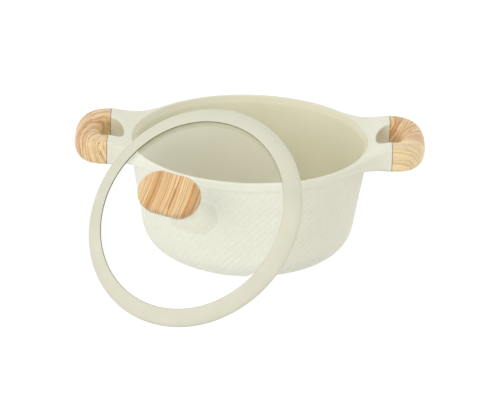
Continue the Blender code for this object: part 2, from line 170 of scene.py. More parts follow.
# Wood grain
GROWTH_SPACING = 4.0
GRAIN_WAVER = 13.0       # how far slow noise pushes the streaks aside
GRAIN_RIPPLE = 2.4       # how far quick noise pushes them
LINE_DRIFT = 5.0         # by how many spacings the growth lines draw together and apart
FAN_X = 147.0            # right grip: the corner that its streaks fan out from
FAN_Y = -16.0
WRAP_X = 141.0           # left grip: middle and half sizes of the ovals that its streaks follow
WRAP_Y = 88.0
WRAP_ACROSS = 37.0
WRAP_ALONG = 116.0
KNOB_SLANT = -2.0        # degrees between the knob's streaks and its short side

# Stage, in metres and watts
FLOOR_HALF = 12.0
FLOOR_DROP = 0.0002
FLOOR_GLOW = 0.95
LAMP_SIZE = 1.4
LAMP_AIM = (0.0, -0.03, 0.06)
KEY_LAMP = (-1.5, -2.0, 0.9)
KEY_POWER = 20.0
TOP_LAMP = (-0.2, 0.2, 2.2)
TOP_POWER = 15.0

# Tent brightness below, at the horizon and overhead, and its strength on the left and on the right
TENT_LEVELS = (0.11, 0.80, 0.08)
TENT_SIDES = (1.30, 1.82)
GLEAM = 1.5              # brightness seen all round in reflections and through the glass


# Meshes ----------

def write_attribute(mesh, name, vectors):
    attribute = mesh.attributes.new(name, "FLOAT_VECTOR", "POINT")
    attribute.data.foreach_set("vector", vectors.astype(np.float32).ravel())


def finish_mesh(name, bm, surfaces, body, nodes, matrix=None, sharp=38.0):
    """Turn a bmesh in millimetres into a smooth-shaded piece that rides on a body and replaces CAD nodes.

    The mesh is moved to its place by matrix. The attribute own keeps each point's place in the piece's own
    frame, in millimetres, for materials that follow its axis.
    """
    bmesh.ops.recalc_face_normals(bm, faces=bm.faces)
    mesh = bpy.data.meshes.new(name)
    bm.to_mesh(mesh)
    bm.free()
    own = np.zeros(len(mesh.vertices) * 3)
    mesh.vertices.foreach_get("co", own)
    mesh.transform(Matrix.Scale(MM, 4))
    if matrix is not None:
        mesh.transform(matrix)
    write_attribute(mesh, "own", own.reshape(-1, 3))
    mesh.polygons.foreach_set("use_smooth", [True] * len(mesh.polygons))
    mesh.set_sharp_from_angle(angle=math.radians(sharp))
    for surface in surfaces:
        mesh.materials.append(surface)
    piece = bpy.data.objects.new(name, mesh)
    bpy.context.scene.collection.objects.link(piece)
    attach(piece, body)
    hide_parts(*nodes)
    return piece


def skin(bm, rings, closed_ends=True, loop=False):
    """Quads between successive rings of points; the ends are capped, or the last ring meets the first."""
    made = [[bm.verts.new(point) for point in ring] for ring in rings]
    pairs = list(zip(made, made[1:]))
    if loop:
        pairs.append((made[-1], made[0]))
    count = len(made[0])
    for first, second in pairs:
        for i in range(count):
            j = (i + 1) % count
            bm.faces.new((first[i], first[j], second[j], second[i]))
    if closed_ends and not loop:
        bm.faces.new(made[0])
        bm.faces.new(reversed(made[-1]))
    return made


def ring_points(radius, z, steps):
    """A level circle of points."""
    angles = np.arange(steps) * (2 * math.pi / steps)
    return np.stack([radius * np.cos(angles), radius * np.sin(angles), np.full(steps, z)], axis=-1)


def lathe(profile, steps, closed=False):
    """A turned bmesh. An open profile starts and ends on the axis; a closed one makes a ring."""
    bm = bmesh.new()
    if closed:
        skin(bm, [ring_points(r, z, steps) for r, z in profile], loop=True)
        return bm
    made = skin(bm, [ring_points(r, z, steps) for r, z in profile if r > 0], closed_ends=False)
    for ring, (_, z) in ((made[0], profile[0]), (made[-1], profile[-1])):
        pole = bm.verts.new((0.0, 0.0, z))
        for i in range(steps):
            bm.faces.new((ring[i], ring[(i + 1) % steps], pole))
    return bm


def soften(profile, closed, rounds=2, reach=0.5):
    """Round the corners of a profile: each corner is cut twice, by at most reach millimetres."""
    points = [Vector(p) for p in profile]
    for _ in range(rounds):
        cut = []
        count = len(points)
        for i, point in enumerate(points):
            if not closed and i in (0, count - 1):
                cut.append(point)
                continue
            before = points[i - 1] - point
            after = points[(i + 1) % count] - point
            for arm in (before, after):
                cut.append(point + arm.normalized() * min(arm.length * 0.25, reach))
        points = cut
        reach *= 0.45
    return [(p.x, p.y) for p in points]


def arc(centre_r, centre_z, radius, start, end, steps):
    """Profile points along an arc; angles in degrees from the +r direction."""
    angles = [math.radians(start + (end - start) * i / steps) for i in range(steps + 1)]
    return [(centre_r + radius * math.cos(a), centre_z + radius * math.sin(a)) for a in angles]


def superellipse(angle, power):
    c = math.cos(angle)
    s = math.sin(angle)
    return (
        math.copysign(abs(c) ** (2 / power), c),
        math.copysign(abs(s) ** (2 / power), s),
    )


# Materials ----------

class Nodes:
    """A short way to write a node tree."""

    def __init__(self, name):
        self.material = bpy.data.materials.new(name)
        self.material.use_nodes = True
        self.tree = self.material.node_tree
        self.shader = self.tree.nodes["Principled BSDF"]
        self.coordinates = self.tree.nodes.new("ShaderNodeTexCoord").outputs["Object"]

    def add(self, kind, **settings):
        node = self.tree.nodes.new(kind)
        for key, value in settings.items():
            setattr(node, key, value)
        return node

    def link(self, source, target):
        self.tree.links.new(source, target)

    def fill(self, socket, value):
        if isinstance(value, bpy.types.NodeSocket):
            self.link(value, socket)
        else:
            socket.default_value = value

    def fill_all(self, node, **inputs):
        """Fill a node's sockets by name, with _ for a space."""
        for key, value in inputs.items():
            socket = node.inputs[key.replace("_", " ")]
            if isinstance(value, tuple) and len(value) == 3 and socket.type == "RGBA":
                value = (*value, 1.0)
            self.fill(socket, value)

    def axis_distance(self):
        """Distance in millimetres from the piece's own z axis."""
        own = self.add("ShaderNodeAttribute", attribute_name="own").outputs["Vector"]
        flat = self.add("ShaderNodeVectorMath", operation="MULTIPLY")
        self.link(own, flat.inputs[0])
        flat.inputs[1].default_value = (1.0, 1.0, 0.0)
        length = self.add("ShaderNodeVectorMath", operation="LENGTH")
        self.link(flat.outputs["Vector"], length.inputs[0])
        return length.outputs["Value"]

    def noise(self, scale, detail, roughness=0.5, vector=None, distortion=0.0):
        node = self.add("ShaderNodeTexNoise")
        self.fill_all(node, Vector=vector or self.coordinates, Distortion=distortion)
        self.fill_all(node, Scale=scale, Detail=detail, Roughness=roughness)
        return node.outputs["Fac"]

    def stretch(self, vector, scale, offset=(0.0, 0.0, 0.0)):
        node = self.add("ShaderNodeMapping")
        self.fill_all(node, Vector=vector, Scale=scale, Location=offset)
        return node.outputs["Vector"]

    def spread(self, value, low, high, new_low, new_high):
        node = self.add("ShaderNodeMapRange")
        self.fill_all(node, Value=value, From_Min=low, From_Max=high, To_Min=new_low, To_Max=new_high)
        return node.outputs["Result"]

    def maths(self, operation, first, second=0.0):
        node = self.add("ShaderNodeMath", operation=operation)
        self.fill(node.inputs[0], first)
        self.fill(node.inputs[1], second)
        return node.outputs[0]

    def ramp(self, value, stops):
        node = self.add("ShaderNodeValToRGB")
        self.link(value, node.inputs["Fac"])
        elements = node.color_ramp.elements
        for place, colour in stops[1:-1]:
            elements.new(place)
        elements[0].position = stops[0][0]
        elements[-1].position = stops[-1][0]
        for element, (place, colour) in zip(elements, stops):
            element.color = (*colour, 1.0)
        return node.outputs["Color"]

    def mix(self, amount, first, second):
        node = self.add("ShaderNodeMix", data_type="RGBA")
        self.fill_all(node, Factor=amount, A=first, B=second)
        return node.outputs["Result"]

    def bump(self, height, distance, strength):
        node = self.add("ShaderNodeBump")
        self.fill_all(node, Strength=strength, Distance=distance, Height=height)
        return node.outputs["Normal"]

    def finish(self, **inputs):
        self.fill_all(self.shader, **inputs)
        return self.material


def coating():
    """Satin cream ceramic coating: faint orange peel and cloudiness; a darker cream inside the pot and on
    the finger holes' walls is painted shade.
    """
    n = Nodes("cream_coating")
    cloud = n.noise(26.0, 3.0)
    speck = n.noise(900.0, 1.0)
    colour = n.ramp(cloud, [(0.3, (0.765, 0.752, 0.612)), (0.7, (0.80, 0.787, 0.648))])
    colour = n.mix(n.spread(speck, 0.62, 0.8, 0.0, 0.10), colour, (0.60, 0.57, 0.45))
    # painted shade: where the inside attribute is set, the cream turns darker and yellower in place of the
    # shade in the pot and the finger holes
    inside = n.add("ShaderNodeAttribute", attribute_name="inside").outputs["Fac"]
    shaded_cream = n.ramp(cloud, [(0.3, (0.740, 0.712, 0.540)), (0.7, (0.770, 0.742, 0.570))])
    colour = n.mix(inside, colour, shaded_cream)
    peel = n.noise(620.0, 2.0, 0.45)
    rough = n.spread(n.noise(180.0, 3.0), 0.3, 0.7, 0.40, 0.50)
    normal = n.bump(peel, 0.00006, 0.5)
    return n.finish(Base_Color=colour, Roughness=rough, Normal=normal, IOR=1.5)


def silicone():
    """Soft matte silicone with a faint grain; the inner wall, against the glass, is painted dark as
    painted shade.
    """
    n = Nodes("cream_silicone")
    cloud = n.noise(34.0, 4.0)
    colour = n.ramp(cloud, [(0.3, (0.675, 0.66, 0.525)), (0.7, (0.72, 0.705, 0.565))])
    # painted shade: a near-black line on the ring's inner wall, where the glass meets it
    inner = n.spread(n.axis_distance(), RING_INNER + 0.25, RING_INNER + 0.5, 1.0, 0.0)
    colour = n.mix(inner, colour, (0.13, 0.12, 0.07))
    grain = n.noise(1500.0, 2.0)
    rough = n.spread(n.noise(90.0, 4.0), 0.3, 0.7, 0.52, 0.66)
    normal = n.bump(grain, 0.00003, 0.5)
    return n.finish(
        Base_Color=colour, Roughness=rough, Normal=normal, IOR=1.41, Sheen_Weight=0.15, Sheen_Roughness=0.5
    )


def soft_rubber(name, colour, darker, rough):
    n = Nodes(name)
    mottle = n.ramp(n.noise(300.0, 3.0), [(0.3, darker), (0.7, colour)])
    normal = n.bump(n.noise(1800.0, 2.0), 0.00003, 0.5)
    roughness = n.spread(n.noise(220.0, 2.0), 0.3, 0.7, rough - 0.06, rough + 0.06)
    return n.finish(Base_Color=mottle, Roughness=roughness, Normal=normal, IOR=1.41)


def moulded_cream():
    """Cream heat-proof resin of the knob's post."""
    n = Nodes("cream_resin")
    colour = n.ramp(n.noise(60.0, 3.0), [(0.3, (0.77, 0.75, 0.63)), (0.7, (0.80, 0.78, 0.66))])
    normal = n.bump(n.noise(1400.0, 2.0), 0.00002, 0.6)
    rough = n.spread(n.noise(240.0, 2.0), 0.3, 0.7, 0.34, 0.44)
    return n.finish(Base_Color=colour, Roughness=rough, Normal=normal, IOR=1.5)


def bent_grain(n):
    """The grain's coordinates, pushed aside by slow and quick noise, and the first of them alone."""
    grain = n.add("ShaderNodeAttribute", attribute_name="grain").outputs["Vector"]
    waver = n.noise(0.055, 2.0, 0.5, n.stretch(grain, (1.0, 0.35, 0.35)))
    ripple = n.noise(0.30, 2.0, 0.5, n.stretch(grain, (0.6, 0.8, 0.8)))
    parts = n.add("ShaderNodeSeparateXYZ")
    n.link(grain, parts.inputs[0])
    across = n.maths("ADD", parts.outputs["X"], n.maths("MULTIPLY", waver, GRAIN_WAVER))
    across = n.maths("ADD", across, n.maths("MULTIPLY", ripple, GRAIN_RIPPLE))
    bent = n.add("ShaderNodeCombineXYZ")
    n.link(across, bent.inputs["X"])
    n.link(parts.outputs["Y"], bent.inputs["Y"])
    n.link(parts.outputs["Z"], bent.inputs["Z"])
    return bent.outputs[0], across


def streaks(n, bent, scale, detail, roughness, along, offset=(0.0, 0.0, 0.0)):
    """Noise drawn out along the grain; a small along makes long streaks."""
    return n.noise(scale, detail, roughness, n.stretch(bent, (1.0, along, along), offset))


def growth_lines(n, bent, across, pale):
    """Thin dark lines, sharp on one side and fading on the other, fainter where the wood is pale."""
    drift = streaks(n, bent, 0.09, 2.0, 0.5, 0.06, (3.0, 7.0, 1.0))
    growth = n.maths("MULTIPLY", across, 1 / GROWTH_SPACING)
    growth = n.maths("ADD", growth, n.maths("MULTIPLY", drift, LINE_DRIFT))
    levels = ((0.0, 1.0), (0.18, 0.5), (0.55, 0.0), (0.93, 0.0), (1.0, 1.0))
    saw = n.ramp(n.maths("FRACT", growth), [(place, (level, level, level)) for place, level in levels])
    strength = n.spread(streaks(n, bent, 0.11, 2.0, 0.5, 0.5), 0.35, 0.6, 0.45, 1.0)
    strength = n.maths("MULTIPLY", strength, n.maths("SUBTRACT", 1.0, n.maths("MULTIPLY", pale, 0.5)))
    return n.maths("MULTIPLY", saw, strength)


def wood_effect():
    """Printed wood grain: broad light and dark bands, thin dark growth lines, flecks and fine pores.

    The grain attribute holds, in millimetres, the distance across the streaks, the distance along them
    and the height, so streaks bend with the piece they are printed on.
    """
    n = Nodes("wood_effect")
    bent, across = bent_grain(n)
    pale = n.add("ShaderNodeAttribute", attribute_name="pale").outputs["Fac"]
    bands = [
        (0.30, (0.80, 0.52, 0.24)),
        (0.44, (0.84, 0.60, 0.32)),
        (0.56, (0.76, 0.46, 0.19)),
        (0.68, (0.53, 0.24, 0.07)),
    ]
    colour = n.ramp(streaks(n, bent, 0.13, 3.0, 0.55, 0.07), bands)
    colour = n.mix(n.maths("MULTIPLY", pale, 0.95), colour, (0.92, 0.745, 0.43))
    lines = growth_lines(n, bent, across, pale)
    colour = n.mix(lines, colour, (0.26, 0.10, 0.028))
    fine = streaks(n, bent, 0.9, 3.0, 0.65, 0.06, (9.0, 2.0, 4.0))
    colour = n.mix(n.spread(fine, 0.50, 0.70, 0.0, 0.55), colour, (0.93, 0.74, 0.46))
    colour = n.mix(n.spread(fine, 0.46, 0.30, 0.0, 0.50), colour, (0.56, 0.28, 0.10))
    flecks = streaks(n, bent, 1.2, 2.0, 0.6, 0.30, (2.0, 8.0, 6.0))
    colour = n.mix(n.spread(flecks, 0.54, 0.72, 0.0, 0.50), colour, (0.50, 0.25, 0.085))
    pores = streaks(n, bent, 3.4, 2.0, 0.6, 0.09, (5.0, 5.0, 5.0))
    colour = n.mix(n.spread(pores, 0.60, 0.75, 0.0, 0.40), colour, (0.50, 0.26, 0.10))

    height = n.maths("ADD", n.maths("MULTIPLY", fine, 0.6), n.maths("MULTIPLY", lines, -0.5))
    normal = n.bump(height, 0.00012, 0.35)
    rough = n.spread(fine, 0.3, 0.7, 0.38, 0.52)
    return n.finish(Base_Color=colour, Roughness=rough, Normal=normal, IOR=1.48)


def steel(name, ring_scale, rough):
    """Turned steel: fine rings round the piece's own axis and slight staining."""
    n = Nodes(name)
    ring = n.add("ShaderNodeCombineXYZ")
    n.link(n.axis_distance(), ring.inputs["X"])
    rings = n.noise(ring_scale, 3.0, 0.6, ring.outputs[0])
    colour = n.ramp(n.noise(40.0, 4.0), [(0.3, (0.56, 0.55, 0.53)), (0.7, (0.66, 0.655, 0.64))])
    normal = n.bump(rings, 0.00004, 0.5)
    roughness = n.spread(rings, 0.3, 0.7, rough - 0.08, rough + 0.08)
    return n.finish(Base_Color=colour, Metallic=1.0, Roughness=roughness, Normal=normal)


def brass():
    n = Nodes("insert_brass")
    colour = n.ramp(n.noise(300.0, 3.0), [(0.3, (0.70, 0.52, 0.24)), (0.7, (0.80, 0.62, 0.32))])
    normal = n.bump(n.noise(1600.0, 2.0), 0.00004, 0.5)
    rough = n.spread(n.noise(500.0, 2.0), 0.3, 0.7, 0.28, 0.42)
    return n.finish(Base_Color=colour, Metallic=1.0, Roughness=rough, Normal=normal)


def glass():
    """Clear tempered glass, faintly smeared, that lets lamp light and bounced light straight through."""
    n = Nodes("clear_glass")
    smear = n.spread(n.noise(22.0, 4.0, 0.6, distortion=1.5), 0.45, 0.8, 0.0, 0.035)
    n.finish(Base_Color=(0.995, 1.0, 0.997), Roughness=smear, IOR=1.55, Transmission_Weight=1.0)
    clear = n.add("ShaderNodeBsdfTransparent")
    clear.inputs["Color"].default_value = (0.995, 1.0, 0.99, 1.0)
    path = n.add("ShaderNodeLightPath")
    choose = n.add("ShaderNodeMixShader")
    light = n.maths("MAXIMUM", path.outputs["Is Shadow Ray"], path.outputs["Is Diffuse Ray"])
    n.link(light, choose.inputs["Fac"])
    n.link(n.shader.outputs["BSDF"], choose.inputs[1])
    n.link(clear.outputs["BSDF"], choose.inputs[2])
    output = n.tree.nodes["Material Output"]
    n.link(choose.outputs["Shader"], output.inputs["Surface"])
    return n.material


# Pot ----------

def wall_radius(z):
    return FOOT_OUTER + SLOPE * z


def climb(radius):
    """How far along its climb a bracket is at a radius, from 0 at the rim to 1 at the arms."""
    u = np.clip((radius - RISE_START) / RISE_LENGTH, 0.0, 1.0)
    eased = u * u / (u + RISE_SOFT) * (1 + RISE_SOFT)
    return np.sin(eased * math.pi / 2)


def top_height(radius):
    return POT_HEIGHT + (ARM_MID + ARM_HALF - POT_HEIGHT) * climb(radius)


def bottom_height(radius):
    start = POT_HEIGHT - BAND_HEIGHT
    return start + (ARM_MID - ARM_HALF - start) * climb(radius)


def side_line():
    """Dense plan points down a bracket's side, from the rim to the seam, with the distance run."""
    contact = math.radians(FILLET_ANGLE)
    rim_x = RIM_OUTER * math.cos(contact)
    rim_y = RIM_OUTER * math.sin(contact)
    bend_x = rim_x + (rim_y - ARM_OUTER) * math.tan(contact)
    t = np.linspace(0.0, 1.0, 301)
    x = (1 - t) ** 2 * rim_x + 2 * t * (1 - t) * bend_x + t**2 * FILLET_END
    y = (1 - t) ** 2 * rim_y + (1 - (1 - t) ** 2) * ARM_OUTER
    x = np.append(x, np.linspace(FILLET_END, SEAM_X, 21)[1:])
    y = np.append(y, np.full(20, ARM_OUTER))
    points = np.stack([x, y], axis=-1)
    steps = np.linalg.norm(np.diff(points, axis=0), axis=-1)
    return points, np.append(0.0, np.cumsum(steps))


def half_outline(count):
    """Plan points of half a bracket, one for each mesh column, from the finger hole's nose to the rim.

    Returns the points, a mask of those inside the flat seam and a mask of those on the finger hole.
    """
    from_rim = round(count * RIM_COLUMNS)
    on_seam = round(count * SEAM_COLUMNS)
    on_hole = count - from_rim - on_seam
    points = []
    for k in range(on_hole):
        c, s = superellipse((k / on_hole) ** 0.85 * math.pi / 2, HOLE_POWER)
        points.append((SEAM_X - HOLE_REACH * c, ARM_INNER * s))
    for k in range(on_seam + 1):
        share = 0.5 - 0.5 * math.cos(math.pi * k / on_seam)
        points.append((SEAM_X, ARM_INNER + (ARM_OUTER - ARM_INNER) * share))
    line, run = side_line()
    for k in range(1, from_rim + 1):
        back = 1 - k / from_rim
        place = run[-1] * (0.66 * back + 1.33 * back**2 - 0.99 * back**3)
        points.append((np.interp(place, run, line[:, 0]), np.interp(place, run, line[:, 1])))
    index = np.arange(count + 1)
    seam = (index > on_hole) & (index < on_hole + on_seam)
    return np.array(points), seam, index <= on_hole


def edge_samples():
    """Dense points on a bracket's outer edge in plan, with the rim beyond it, and on the hole's edge."""
    contact = math.radians(FILLET_ANGLE)
    beyond = contact + np.linspace(0.3, 0.0, 120)
    rim = np.stack([RIM_OUTER * np.cos(beyond), RIM_OUTER * np.sin(beyond)], axis=-1)
    past_x = SEAM_X + np.linspace(0.0, 6.0, 41)
    line, _ = side_line()
    outer = np.concatenate([rim, line, np.stack([past_x, np.full(41, ARM_OUTER)], axis=-1)])
    bend = [superellipse(math.pi / 2 * i / 400, HOLE_POWER) for i in range(401)]
    hole = np.array([(SEAM_X - HOLE_REACH * c, ARM_INNER * s) for c, s in bend])
    hole = np.concatenate([hole, np.stack([past_x, np.full(41, ARM_INNER)], axis=-1)])
    return outer, hole


def edge_distance(x, y, samples):
    """Distance in plan from points to the nearest sample."""
    gap_x = x[..., None] - samples[:, 0]
    gap_y = np.abs(y)[..., None] - samples[:, 1]
    return np.sqrt(gap_x**2 + gap_y**2).min(axis=-1)


def rounding(distance, radius):
    """How far a rounded edge has dropped at a distance from it."""
    inward = np.clip(radius - distance, 0.0, radius)
    return radius - np.sqrt(np.maximum(radius**2 - inward**2, 0.0))


class Casting:
    """The pot and its brackets as one grid: a column for each direction, rows along the skin."""

    def __init__(self):
        self.angles = np.arange(COLUMNS) * (2 * math.pi / COLUMNS)
        cosine = np.cos(self.angles)
        sine = np.sin(self.angles)
        self.side = np.where(cosine >= 0, 1.0, -1.0)
        self.direction = np.stack([np.abs(cosine), sine], axis=-1)
        self.outer_edge, self.hole_edge = edge_samples()
        step = 2 * math.pi / COLUMNS
        count = int(math.radians(FILLET_ANGLE) / step)
        points, seam, hole = half_outline(count)
        swing = np.arctan2(self.direction[:, 1], self.direction[:, 0])
        index = np.minimum(np.rint(np.abs(swing) / step).astype(int), count + 1)
        inside = index <= count
        index = np.minimum(index, count)
        mirrored = points[index] * np.stack([np.ones(COLUMNS), np.sign(swing)], axis=-1)
        self.edge = np.where(inside[:, None], mirrored, self.direction * RIM_OUTER)
        self.seam = inside & seam[index]
        self.hole = inside & hole[index]
        self.bracket = inside

    def world(self, x, y, z):
        return np.stack([self.side * x, y, z], axis=-1)

    def turned(self, radius, z):
        """A row of the plain turned body."""
        x, y = self.direction.T * radius
        return self.world(x, y, np.full(COLUMNS, z))

    def drop(self, x, y, radii, inset):
        """How far the rounded plan edges have dropped below the flat at points of the columns."""
        outer = np.where(self.bracket, edge_distance(x, y, self.outer_edge), RIM_OUTER - np.hypot(x, y))
        outer = rounding(np.maximum(outer - inset, 0.0), radii)
        hole = rounding(edge_distance(x, y, self.hole_edge), HOLE_EDGE)
        return np.maximum(outer, np.where(self.bracket, hole, 0.0))

    def plate(self, edge, root_radius, radii, height, sign, flat_rows, round_rows):
        """Rows from the root out to the edge over the rounded upper (sign -1) or lower (sign +1) face."""
        root = self.direction * root_radius
        span = edge - root
        length = np.linalg.norm(span, axis=-1)
        inset = np.where(self.hole, 0.0, np.linalg.norm(self.edge - edge, axis=-1))
        start = 1 - np.minimum(np.where(self.hole, HOLE_EDGE, radii) / length, 0.92)
        shares = [start * (k + 1) / flat_rows for k in range(flat_rows)]
        for k in range(1, round_rows + 1):
            shares.append(1 - (1 - start) * (1 - math.sin(math.pi / 2 * k / round_rows)))
        rows = []
        for share in shares:
            x = root[:, 0] + span[:, 0] * share
            y = root[:, 1] + span[:, 1] * share
            drop = self.drop(x, y, radii, inset)
            last = (share > 0.9999) & ~self.seam
            drop = np.where(last, np.where(self.hole, HOLE_EDGE, radii), drop)
            rows.append(self.world(x, y, height(np.hypot(x, y)) + sign * drop))
        return rows

    def rows(self):
        """All rows, from the middle of the floor inside to the middle underneath."""
        tangent = math.tan((math.pi / 2 - LEAN) / 2)
        lean_degrees = math.degrees(LEAN)
        inner_foot = SEAT_INNER - SLOPE * (COLLAR_BOTTOM - FLOOR_TOP)
        inner_corner = inner_foot - INNER_CORNER * tangent
        seat_z = POT_HEIGHT - SEAT_DEPTH

        inside = [(4.0, FLOOR_TOP), (24.0, FLOOR_TOP), (50.0, FLOOR_TOP)]
        inside += arc(inner_corner, FLOOR_TOP + INNER_CORNER, INNER_CORNER, -90, -lean_degrees, 9)
        low = Vector((SEAT_INNER - 2.0, COLLAR_BOTTOM - 11.0))
        bend = Vector((SEAT_INNER + 1.0, COLLAR_BOTTOM + 15.0))
        high = Vector((SEAT_OUTER + 2.6, seat_z + 6.4))
        for k in range(13):
            t = k / 12
            inside.append(tuple(low * (1 - t) ** 2 + bend * (2 * t * (1 - t)) + high * t * t))
        inner_round = RIM_CREST - MOUTH_RADIUS
        inside += arc(RIM_CREST, POT_HEIGHT - inner_round, inner_round, 180, 90, 4)
        rows = [self.turned(r, z) for r, z in inside]
        self.inside_rows = len(inside)

        length = np.linalg.norm(self.edge, axis=-1) - RIM_OUTER
        grown = np.clip(np.maximum(length, 0.0) / 8.0, 0.0, 1.0)
        radii = RIM_ROUND + (ARM_EDGE - RIM_ROUND) * grown
        top = self.plate(self.edge, RIM_CREST, radii, top_height, -1.0, 7, 6)
        rows += top
        self.wall_start = len(rows) - 1

        band_z = POT_HEIGHT - BAND_HEIGHT
        shrink = (RIM_OUTER - BAND_OUTER) * (1 - grown)
        scale = 1 - shrink / np.linalg.norm(self.edge, axis=-1)
        low_edge = self.edge * scale[:, None]
        low_radii = 1.1 + (ARM_EDGE - 1.1) * grown
        bottom = self.plate(low_edge, wall_radius(band_z) + 0.4, low_radii, bottom_height, 1.0, 5, 5)
        bottom.reverse()
        for k in range(1, 4):
            rows.append(top[-1] + (bottom[0] - top[-1]) * k / 4)
        self.wall_end = len(rows) + 1
        rows += bottom

        rows.append(self.turned(wall_radius(band_z), band_z - 0.35))
        rows += self.relief_rows(band_z - 1.0, tangent)
        corner = wall_radius(UNDERSIDE) - CORNER_RADIUS * tangent
        edge = DISC_RADIUS + 0.3
        below = [(corner - 1.5, UNDERSIDE), (edge + 0.4, UNDERSIDE), (edge, UNDERSIDE + 0.3)]
        below += [(edge, DISC_THICK + 0.3), (edge - 20.0, DISC_THICK + 0.3), (4.0, DISC_THICK + 0.3)]
        rows += [self.turned(r, z) for r, z in below]
        return rows

    def relief_rows(self, start_z, tangent):
        """The outside from under the band down through the bottom corner, with its lozenge relief."""
        corner_r = wall_radius(UNDERSIDE) - CORNER_RADIUS * tangent
        corner_z = UNDERSIDE + CORNER_RADIUS
        wall_end_z = corner_z - CORNER_RADIUS * math.sin(LEAN)
        wall_length = (start_z - wall_end_z) / math.cos(LEAN)
        turn = math.pi / 2 - LEAN
        total = wall_length + CORNER_RADIUS * turn
        step = LOZENGE_HEIGHT / PER_LOZENGE
        relief_end = wall_length + CORNER_RADIUS * turn * RELIEF_REACH
        runs = list(np.arange(0.0, relief_end, step))
        runs += list(np.linspace(relief_end, total - 0.4, 6))
        across = self.angles * LOZENGES / (2 * math.pi)
        rows = []
        for run in runs:
            if run < wall_length:
                z = start_z - run * math.cos(LEAN)
                r = wall_radius(z)
                normal = (math.cos(LEAN), -math.sin(LEAN))
            else:
                angle = -LEAN - (run - wall_length) / CORNER_RADIUS
                normal = (math.cos(angle), math.sin(angle))
                r = corner_r + CORNER_RADIUS * normal[0]
                z = corner_z + CORNER_RADIUS * normal[1]
            down = run / LOZENGE_HEIGHT
            first = 2 * np.mod(across + down, 1.0) - 1
            second = 2 * np.mod(across - down, 1.0) - 1
            pillow = (1 - first**2) * (1 - CROSS_GROOVES * second**2)
            fade = min(run / RELIEF_FADE_TOP, 1.0)
            fade *= min(max((relief_end - run) / RELIEF_FADE_LOW, 0.0), 1.0)
            height = RELIEF_DEPTH * fade * (pillow - RELIEF_MEAN)
            radius = r + normal[0] * height
            x, y = self.direction.T * radius
            rows.append(self.world(x, y, z + normal[1] * height))
        return rows


def pot_mesh():
    """The casting's mesh and, for each of its points, how much painted shade it takes inside the pot and
    on the finger holes' walls.
    """
    bm = bmesh.new()
    casting = Casting()
    rows = casting.rows()
    made = skin(bm, rows, closed_ends=False)
    for ring, row in ((made[0], rows[0]), (made[-1], rows[-1])):
        pole = bm.verts.new((0.0, 0.0, row[0, 2]))
        for i in range(COLUMNS):
            bm.faces.new((ring[i], ring[(i + 1) % COLUMNS], pole))
    # painted shade: full down inside the pot, fading out over four rows up to the rim, and full on the
    # walls of the finger holes
    painted_shade = np.clip((casting.inside_rows - 1 - np.arange(len(rows))) / 4.0, 0.0, 1.0)
    painted_shade = np.repeat(painted_shade[:, None], COLUMNS, axis=1)
    painted_shade[casting.wall_start:casting.wall_end, casting.hole] = 1.0
    painted_shade = np.append(painted_shade, (1.0, 0.0))
    return bm, np.repeat(painted_shade[:, None], 3, axis=1)


def disc_profile():
    """Pressed steel disc with shallow turned rings on its face."""
    points = [(0.0, 0.25), (3.0, 0.25), (3.6, 0.0)]
    for k in range(6):
        r = 12.0 + 10.0 * k
        points += [(r - 0.8, 0.0), (r - 0.3, 0.28), (r + 0.3, 0.28), (r + 0.8, 0.0)]
    points += [(DISC_RADIUS - 0.8, 0.0), (DISC_RADIUS, 0.7), (DISC_RADIUS, DISC_THICK), (0.0, DISC_THICK)]
    return points


# Grips ----------

def section(centre, across, half_width, half_height, power):
    """Superellipse section in the upright plane through the direction across."""
    loop = []
    for i in range(SECTION_POINTS):
        c, s = superellipse(2 * math.pi * (i + 0.5) / SECTION_POINTS, power)
        loop.append(centre + across * (half_width * c) + Vector((0, 0, half_height * s)))
    return loop


def grip_loops():
    """Sections of the right-hand grip from its front seam to its back seam, with softened end edges."""
    start_x = SEAM_X + GASKET_THICK + 0.02
    angles = [math.pi * (i / GRIP_STATIONS - 0.5) for i in range(GRIP_STATIONS + 1)]
    loops = []
    for i, angle in enumerate(angles):
        middle = math.cos(angle)
        c, s = superellipse(angle, OUTLINE_POWER)
        outer = Vector((start_x + (GRIP_REACH - start_x) * c, ARM_OUTER * s, 0))
        inner_x = start_x + (GRIP_INNER_REACH - start_x) * middle
        inner = Vector((inner_x, ARM_INNER * math.sin(angle), 0))
        across = outer - inner
        half_width = across.length / 2
        across.normalize()
        centre = (outer + inner) / 2
        centre.z = ARM_MID + GRIP_MID_LIFT * middle
        half_height = ARM_HALF + (GRIP_MID_HALF - ARM_HALF) * middle
        power = END_POWER + (MID_POWER - END_POWER) * middle**0.6
        cuts = ((0.0, 0.0),)
        if i == 0:
            cuts = END_CUTS
        elif i == GRIP_STATIONS:
            cuts = END_CUTS[::-1]
        for shift, inset in cuts:
            place = centre + Vector((shift, 0.0, 0.0))
            loops.append(section(place, across, half_width - inset, half_height - inset, power))
    return loops


def store_grain(piece, rule):
    """Write the attributes that the wood material reads: the grain and how pale it is."""
    mesh = piece.data
    own = np.zeros(len(mesh.vertices) * 3)
    mesh.attributes["own"].data.foreach_get("vector", own)
    grain, pale = rule(own.reshape(-1, 3))
    write_attribute(mesh, "grain", grain)
    write_attribute(mesh, "pale", np.repeat(pale[:, None], 3, axis=1))


def fanned_grain(points):
    """Streaks fan out from the finger hole's front corner and run level along the paler front."""
    x = points[:, 0] - FAN_X
    y = points[:, 1] - FAN_Y
    z = points[:, 2] - ARM_MID
    angle = np.arctan2(np.maximum(y, 0.0), x + 4.0)
    across = np.where(y > 0, angle * 50.0, 0.9 * y) + 0.6 * z
    return np.stack([across, np.hypot(x, y), points[:, 2]], axis=-1), np.clip(0.1 - y / 9.0, 0.0, 0.9)


